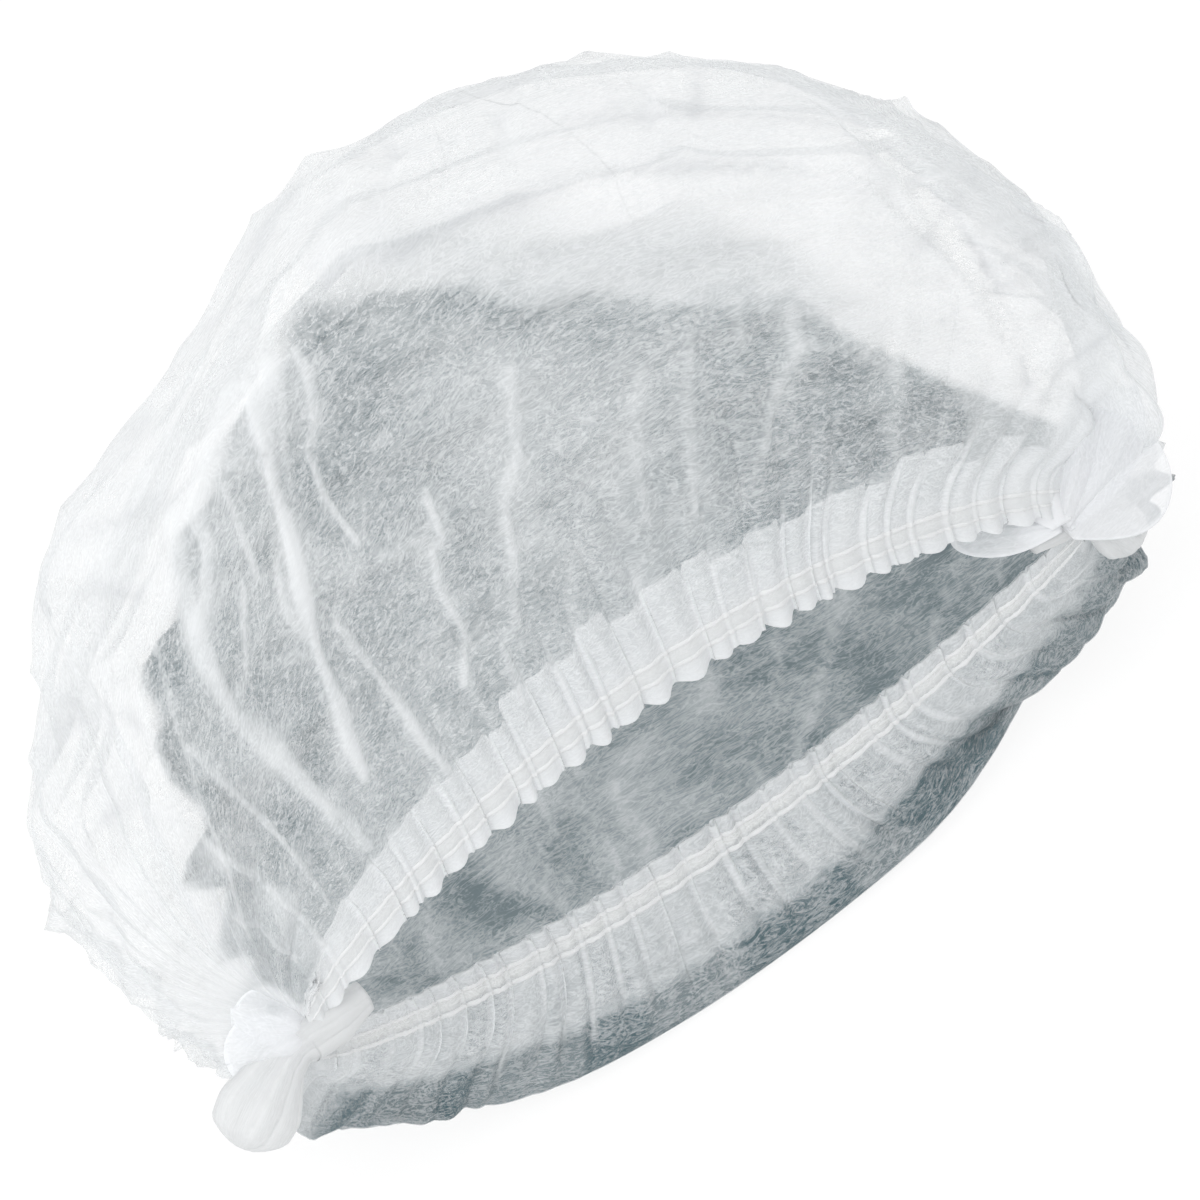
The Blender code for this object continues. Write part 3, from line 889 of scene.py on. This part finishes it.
def shade_of_inside(along, cloth):
    """0 where the cap's inside is light, up to 1 where it is deep in its own shade: past the
    line SHADE_FROM, with a soft random edge, lighter along creases and pleats, and darkest at
    the lower lip."""
    behind = cloth - np.interp(along, *SHADE_FROM.T)
    softer = 1 + 2.2 * fade(.24, .34, along)
    shade = grow(-.008, .006, (behind + .003 * soft_waves(along, cloth, .05, 71)) / softer)
    deep = .74 + .14 * grow(.52, .66, along) + .05 * soft_waves(along, cloth, .06, 72)
    shade *= deep + .05 * soft_waves(along, cloth, .016, 75)
    strip = grow(.46, .56, along) * fade(.66, .76, along)
    shade = np.maximum(shade, .42 * strip * grow(-.012, .014, behind + .03))
    bend = .003 * soft_waves(along, cloth, .04, 76)
    for place, slant, light, width in INSIDE_LINES:
        off = (along - place - slant * (cloth - .38)) * ALONG_METRES + bend
        shade *= 1 - light * bell(off, width) * grow(.27, .33, cloth)
    shade += (1 - shade) * grow(.448, .462, cloth) * .9
    shade *= fade(CLOTH_ACROSS - HEM_WIDTH - .002, CLOTH_ACROSS - HEM_WIDTH + .004, cloth)
    _, pleat_plies, _, _ = gathers(along, cloth)
    shade *= 1 - .6 * grow(.9, 2.0, pleat_plies)
    bunched = grow(.44, .46, cloth) * fade(.10, .19, along)
    ends = grow(.03, .10, from_end(along))
    return np.clip(shade, 0, 1) * (1 - .75 * bunched) * ends * (cloth > .2)


def make_sheet(name, first, last):
    """The cloth between two columns as a closed thin wall. Its outward directions are worked out
    with one more column on each side and kept as the mesh's normals, so that two stretches join
    without a line."""
    before, after = min(first, 1), min(len(columns) - 1 - last, 1)
    places = columns[first - before:last + 1 + after]
    along, cloth = np.meshgrid(places, SHEET_ROWS, indexing="ij")
    face, _, plies = sheet_face(along, cloth)
    # the fold lines add plies, and through the value pressed they paint shade into the outer
    # cloth's colour
    pressed = shaded_fold_lines(along, cloth)
    lower_lip = grow(.44, .455, cloth)
    plies = plies + .8 * pressed
    plies -= .55 * lower_lip * fade(.48, .486, cloth)
    plies += 2.0 * lower_lip * fade(.08, .16, along)
    values = {"plies": np.maximum(plies, .3), "shade": shade_of_inside(along, cloth),
              "pressed": pressed}
    outwards = wall_directions(face)
    own = slice(before, len(places) - after)
    face, outwards = face[own], outwards[own]
    mesh = wall_mesh(name, face, face - SHEET_THICKNESS * outwards,
                     on_flat_cloth(along[own], cloth[own]),
                     {field: value[own] for field, value in values.items()},
                     [outer_cloth, inner_cloth])
    piece = link_piece(name, mesh, ["crown_sheet"])
    outwards = outwards.reshape(-1, 3)
    mesh.normals_split_custom_set_from_vertices(np.concatenate([outwards, -outwards]).tolist())
    flat = (float(columns[last] - columns[first]) * CLOTH_LENGTHWISE, CLOTH_ACROSS)
    print(name, len(mesh.polygons) * 2, "triangles, surface over flat area",
          round(cloth_area(face) / (flat[0] * flat[1]), 3))
    return piece, flat


columns = sheet_columns()
seam = int(np.argmin(np.abs(columns - SEAM_AT)))
left_sheet, left_flat = make_sheet("sheet_left", 0, seam)
right_sheet, right_flat = make_sheet("sheet_right", seam, len(columns) - 1)

# %% [markdown]
# ## The turned-in hems
# Along each long edge the cloth is folded inwards over the elastic and bonded to itself in two
# lines. The turned-in ply shows through as a whiter band with small pressed dots, and its inner
# edge steps in and out from one lobe to the next.

# %% Hem plies
HEM_COLUMNS = columns[(columns > .028) & (columns < .972)]
HEM_STATIONS = numbers(
    "0 .03 .07 .12 .17 .20 .23 .27 .32 .36 .42 .50 .58 .66 .74 .82 .90 .96 1")
HEM_DEPTH_AT = np.array([0, .0025, .0045, .0055, .0085, .01, .013, .03])
HEM_DEPTHS = np.array([.90, 1.10, 1.60, 1.85, 1.85, 1.50, 1.30, 1.30]) / 1000
HEM_THICKNESS = .00025
ELASTIC_DEPTHS = (.00115, .0017)
BOND_LINES = (.0048, .0092)
BOND_WIDTH = .0012


def hem_cut(along, seed):
    """How wide the turned-in ply is along the hem: a width for each lobe, notched beside it."""
    cell, phase = in_cells(share_of_slit(along), GATHERS)
    widths = HEM_WIDTH * np.random.default_rng(seed).uniform(.80, 1.04, len(GATHERS))
    notch = bell(np.minimum(phase, 1 - phase), .06)
    return widths[cell] * (1 - .07 * notch)


def hem_places(edge, upper):
    """Along and cloth for distances to a hem's fold, one row for each of HEM_COLUMNS, in the
    order that keeps faces outwards."""
    edge = np.broadcast_to(edge, (len(HEM_COLUMNS), edge.shape[-1]))
    cloth = edge if upper else (CLOTH_ACROSS - edge)[:, ::-1]
    return np.broadcast_to(HEM_COLUMNS[:, None], cloth.shape), cloth


def make_hem(name, node, upper, seed):
    """The turned-in ply, inside the sheet, and raised where the elastic runs between them."""
    cut = hem_cut(HEM_COLUMNS, seed)[:, None]
    edge = cut * HEM_STATIONS
    along, cloth = hem_places(edge, upper)
    edge = edge if upper else edge[:, ::-1]
    face, normal, _ = sheet_face(along, cloth, pleated=False)
    depth = np.interp(edge, HEM_DEPTH_AT, HEM_DEPTHS)[..., None]
    _, bars, _, _ = gathers(along, cloth, pleated=False)
    if upper:
        plies = 1.3 + bars
    else:
        plies = .25 + 1.3 * bell(edge - FRILL, .003, 4) + bars * .85
    plies = plies + 1.2 * bell(cut - edge, .0007)
    mesh = wall_mesh(name, face - depth * normal, face - (depth + HEM_THICKNESS) * normal,
                     on_flat_cloth(along, cloth), {"plies": plies}, [hem_cloth, bare_inside])
    print(name, "area", round(cloth_area(face), 5), "m2")
    return link_piece(name, mesh, [node])


def make_band(name, upper, edge, above, below, pleated, material, nodes):
    """A ribbon along a hem, between two distances from the sheet's face."""
    along, cloth = hem_places(edge, upper)
    face, normal, _ = sheet_face(along, cloth, pleated)
    mesh = wall_mesh(name, face + above * normal, face + below * normal,
                     on_flat_cloth(along, cloth), {}, [material])
    return link_piece(name, mesh, nodes)


def make_elastic(name, node, upper):
    """The flat elastic between the two plies, from gathered end to gathered end."""
    edge = FRILL + ELASTIC_WIDTH * np.array([-.42, -.2, 0, .2, .42])
    above, below = ELASTIC_DEPTHS
    return make_band(name, upper, edge, -above, -below, False, elastic_cream, [node])


def make_bond(name, upper, middle):
    """One bonded line: a thin raised ribbon on the outer face, wavering a little in width."""
    wide = BOND_WIDTH * (1 + .25 * np.sin(HEM_COLUMNS * 900) * np.sin(HEM_COLUMNS * 331 + 1))
    edge = middle + wide[:, None] * np.array([-.5, -.25, 0, .25, .5])
    crown = .00022 * np.array([.2, .8, 1, .8, .2])[:, None]
    return make_band(name, upper, edge, crown, -.0001, True, bond_cloth, [])


hems = [make_hem("hem_ply_upper", "hem_upper", True, 81),
        make_hem("hem_ply_lower", "hem_lower", False, 82)]
elastics = [make_elastic("elastic_band_upper", "elastic_upper", True),
            make_elastic("elastic_band_lower", "elastic_lower", False)]
bonds = [make_bond(f"bond_{side}_{k + 1}", side == "upper", middle)
         for side in ("upper", "lower") for k, middle in enumerate(BOND_LINES)]

# %% [markdown]
# ## The tails
# Past each gathered end the spare cloth stands out as a small pleated bulb: a section carried
# along a short bent path, whose radius swells and closes again. A plug runs back from it into
# the ring that the sheet leaves at its end.

# %% Tails of spare cloth
# out, forward, drop and radius, in tenths of a millimetre
TAIL = table("""
15 0 0 50
45 6 2 51
85 18 12 58
125 34 30 76
168 52 56 96
210 70 86 90
245 86 112 58
""", 10000)
TAIL_SIDES, TAIL_STATIONS = 160, 60
ROUNDS_FROM = .86


def make_tail(name, node, direction, scale, plug, seed):
    """A round section along the path of TAIL, closed at the tip. The radius is the path's, less
    up to 9% of it between lobes of sin(pi phase) ** 0.6. plug is the radius inside the ring."""
    out, forward, drop, radius = TAIL.T
    radius = radius[0] + (radius - radius[0]) * scale
    radius[0] = plug
    path = np.stack([out * scale, forward, drop, radius], -1)
    path = np.concatenate([[(-.015, 0, 0, .55 * plug), (-.007, 0, 0, plug)], path])
    t = np.linspace(0, 1, TAIL_STATIONS)
    at = np.linspace(0, 1, len(path))
    out, forward, drop, radius = (np.interp(t, at, value) for value in path.T)
    kernel = np.array([1, 2, 3, 2, 1]) / 9
    radius = np.convolve(np.pad(radius, 2, mode="edge"), kernel, mode="valid")
    rounding = ((t - ROUNDS_FROM) / (1 - ROUNDS_FROM)).clip(0)
    radius = radius * np.sqrt(np.clip(1 - rounding ** 2, .0004, 1))
    centre = np.stack([direction * (END_TO_MIDDLE + out) + ORIGIN_SHIFT[0],
                       ORIGIN_SHIFT[1] - forward, SLIT_HEIGHT - drop], -1)
    heading = unit(np.gradient(centre, axis=0))
    side = unit(np.cross(heading, [0.0, 0.0, 1.0]))
    rise = np.cross(side, heading)
    turn = 2 * np.pi * np.arange(TAIL_SIDES) / TAIL_SIDES
    cells = cell_edges(9, seed, .5)
    swirl = (turn / (2 * np.pi) + .05 * t[:, None]) % 1
    cell, phase = in_cells(swirl, cells)
    lobe = np.sin(np.pi * phase) ** .6
    deep = np.random.default_rng(seed).uniform(.02, .09, len(cells))[cell]
    waver = .02 * np.sin(5 * turn + 9 * t[:, None])
    reach = radius[:, None] * (1 - deep * (1 - lobe) - waver)
    around = (np.cos(turn)[None, :, None] * side[:, None]
              + np.sin(turn)[None, :, None] * rise[:, None])
    points = centre[:, None] + reach[..., None] * around
    number = np.arange(TAIL_STATIONS * TAIL_SIDES).reshape(TAIL_STATIONS, TAIL_SIDES)
    after = np.roll(number, -1, axis=1)
    quads = np.stack([number[:-1], after[:-1], after[1:], number[1:]], -1).reshape(-1, 4)
    faces = [*quads.tolist(), number[0, ::-1].tolist(), number[-1].tolist()]
    mesh = bpy.data.meshes.new(name)
    mesh.from_pydata(points.reshape(-1, 3).tolist(), [], faces)
    build = bmesh.new()
    build.from_mesh(mesh)
    bmesh.ops.recalc_face_normals(build, faces=build.faces)
    build.to_mesh(mesh)
    build.free()
    flat = np.stack(np.meshgrid(t * .03, turn * .02, indexing="ij"), -1).reshape(-1, 2)
    plies = 1.3 + 2.0 * (1 - lobe) + 1.5 * fade(.1, .4, t)[:, None]
    keep_values(mesh, flat, {"plies": plies.reshape(-1)})
    mesh.materials.append(gathered_cloth)
    return link_piece(name, mesh, [node])


tails = [make_tail("tail_bulb_left", "tail_left", -1, 1.0, .0064, 91),
         make_tail("tail_bulb_right", "tail_right", 1, .45, .0034, 92)]

# %% [markdown]
# ## Flaps over the gathered ends
# The outermost folds lie loose over the gathered points, one behind another, like petals. Each
# is a rounded flap that starts at the point. They could be folded from the sheet itself, but
# loose flaps keep the sheet a plain grid.

# %% Flaps
FLAP_SIDE = np.array([.788, -.616, 0.0])
FLAP_UP = np.array([.507, .648, .569])
FLAP_OUT = np.cross(FLAP_SIDE, FLAP_UP)
FLAP_START = {1: (-.0055, -.0025), -1: (0.0, 0.0)}
TIP_FROM = .55
# end, angle up from FLAP_SIDE in degrees, then in tenths of a millimetre the length, half width,
# how far out it starts and cup, and last the plies added at its start
FLAPS = table("""
1 45 300 160 60 50 .4
1 62 370 92 78 50 .8
1 75 340 66 92 50 1.2
1 120 210 80 105 20 4
1 188 260 55 85 20 2.5
-1 200 180 85 50 30 2
-1 160 170 75 45 30 1.2
""", 1, 1, 10000, 10000, 10000, 10000, 1)


def make_flap(name, end, angle, length, half_width, out, cup, thick, seed):
    """A flap from the gathered point, where v is 0, to a half-round tip, where v is 1: past
    v = 0.55 it narrows as the square root of 1 - ((v - 0.55) / 0.45) ** 2. It is cupped
    outwards by cup (1 - u u) sin(pi v ** 0.8), with three creases."""
    v = np.sin(np.pi / 2 * np.linspace(0, 1, 51))[:, None]
    u = np.linspace(-1, 1, 71)[None, :]
    rng = np.random.default_rng(seed)
    turn = np.radians(angle)
    way = np.cos(turn) * FLAP_SIDE + np.sin(turn) * FLAP_UP
    side = np.cross(FLAP_OUT, way)
    point = np.array([end * END_TO_MIDDLE + ORIGIN_SHIFT[0], ORIGIN_SHIFT[1], SLIT_HEIGHT])
    point = point + out * FLAP_OUT
    point += FLAP_START[end][0] * FLAP_SIDE + FLAP_START[end][1] * FLAP_UP
    waver = 1 + .03 * np.sin(3 * u + rng.uniform(0, 6)) * v
    tip = np.sqrt(np.clip(1 - ((v - TIP_FROM) / (1 - TIP_FROM)) ** 2, .0004, 1))
    neck = .3 + .7 * np.sin(np.pi / 2 * np.minimum(v / TIP_FROM, 1))
    wide = half_width * np.where(v > TIP_FROM, tip, neck)
    rise = cup * (1 - u**2) * np.sin(np.pi * v**.8) - .35 * out * v**2
    for place, deep in zip(rng.uniform(-.7, .7, 3), rng.uniform(.0003, .0007, 3)):
        rise = rise + deep * bell(u - place, .14) * np.sin(np.pi * v) ** .5
    face = (point + (length * v * waver)[..., None] * way + (u * wide)[..., None] * side
            + rise[..., None] * FLAP_OUT)
    rim = bell((1 - np.abs(u)) * wide, .0007) + bell((1 - v) * length, .0007)
    plies = 1.0 + 1.4 * rim.clip(0, 1) + thick * fade(.05, TIP_FROM, v)
    flat = np.stack(np.broadcast_arrays(v * length, u * wide), -1)
    mesh = wall_mesh(name, face, face - SHEET_THICKNESS * FLAP_OUT, flat, {"plies": plies},
                     [flap_cloth])
    return link_piece(name, mesh, [])


flaps = [make_flap(f"flap_{k + 1}", *row, 300 + k) for k, row in enumerate(FLAPS)]

# %% [markdown]
# ## The sheet's flat size
# Each stretch of the sheet returns the flat size it was cut to, kept in left_flat and right_flat.
# The hems, elastics, bonds, tails and flaps are pieces on the same body.

# %% [markdown]
# ## Floor, light and camera
# A floor that shines softly so that it reads as white, an even white sky and one soft light
# from the left, so that the folds have no hard shadows.

# %% Floor, light and sky
TARGET = np.array([-.00407, -.01246, .07046])


def look_from(thing, azimuth, elevation, distance):
    """Places a light or a camera so that it looks at TARGET, from angles in degrees."""
    a, e = np.radians(azimuth), np.radians(elevation)
    way = np.array([np.sin(a) * np.cos(e), -np.cos(a) * np.cos(e), np.sin(e)])
    thing.location = TARGET + way * distance
    thing.rotation_euler = (np.pi / 2 - e, 0, a)
    scene.collection.objects.link(thing)


def make_floor(reach=3.0, below=.0004):
    """A square that reaches 3 m to each side, just under the cap."""
    mesh = bpy.data.meshes.new("floor")
    corners = [(-reach, -reach, 0), (reach, -reach, 0), (reach, reach, 0), (-reach, reach, 0)]
    mesh.from_pydata(corners, [], [(0, 1, 2, 3)])
    floor = bpy.data.objects.new("floor", mesh)
    floor.location.z = -below
    scene.collection.objects.link(floor)
    material, _, _ = new_finish(
        "floor_white", Base_Color=(.18, .18, .18, 1), Roughness=.9, Specular_IOR_Level=0,
        Emission_Color=(1, 1, 1, 1), Emission_Strength=.82)
    mesh.materials.append(material)


make_floor()
key = bpy.data.lights.new("key", "AREA")
key.size, key.energy = .7, 7.0
look_from(bpy.data.objects.new("key", key), -75, 50, 1.4)
world = bpy.data.worlds.new("sky")
world.use_nodes = True
feed(world.node_tree.nodes["Background"], Color=(1, 1, 1, 1), Strength=1.05)
scene.world = world
scene.view_settings.view_transform = "Standard"
scene.cycles.transparent_max_bounces = 20

# %% Camera
lens = bpy.data.cameras.new("camera")
lens.lens, lens.sensor_width = 110, 36
lens.clip_start, lens.clip_end = .01, 20
camera = bpy.data.objects.new("camera", lens)
look_from(camera, -38.04, 55.32, .86)
scene.camera = camera
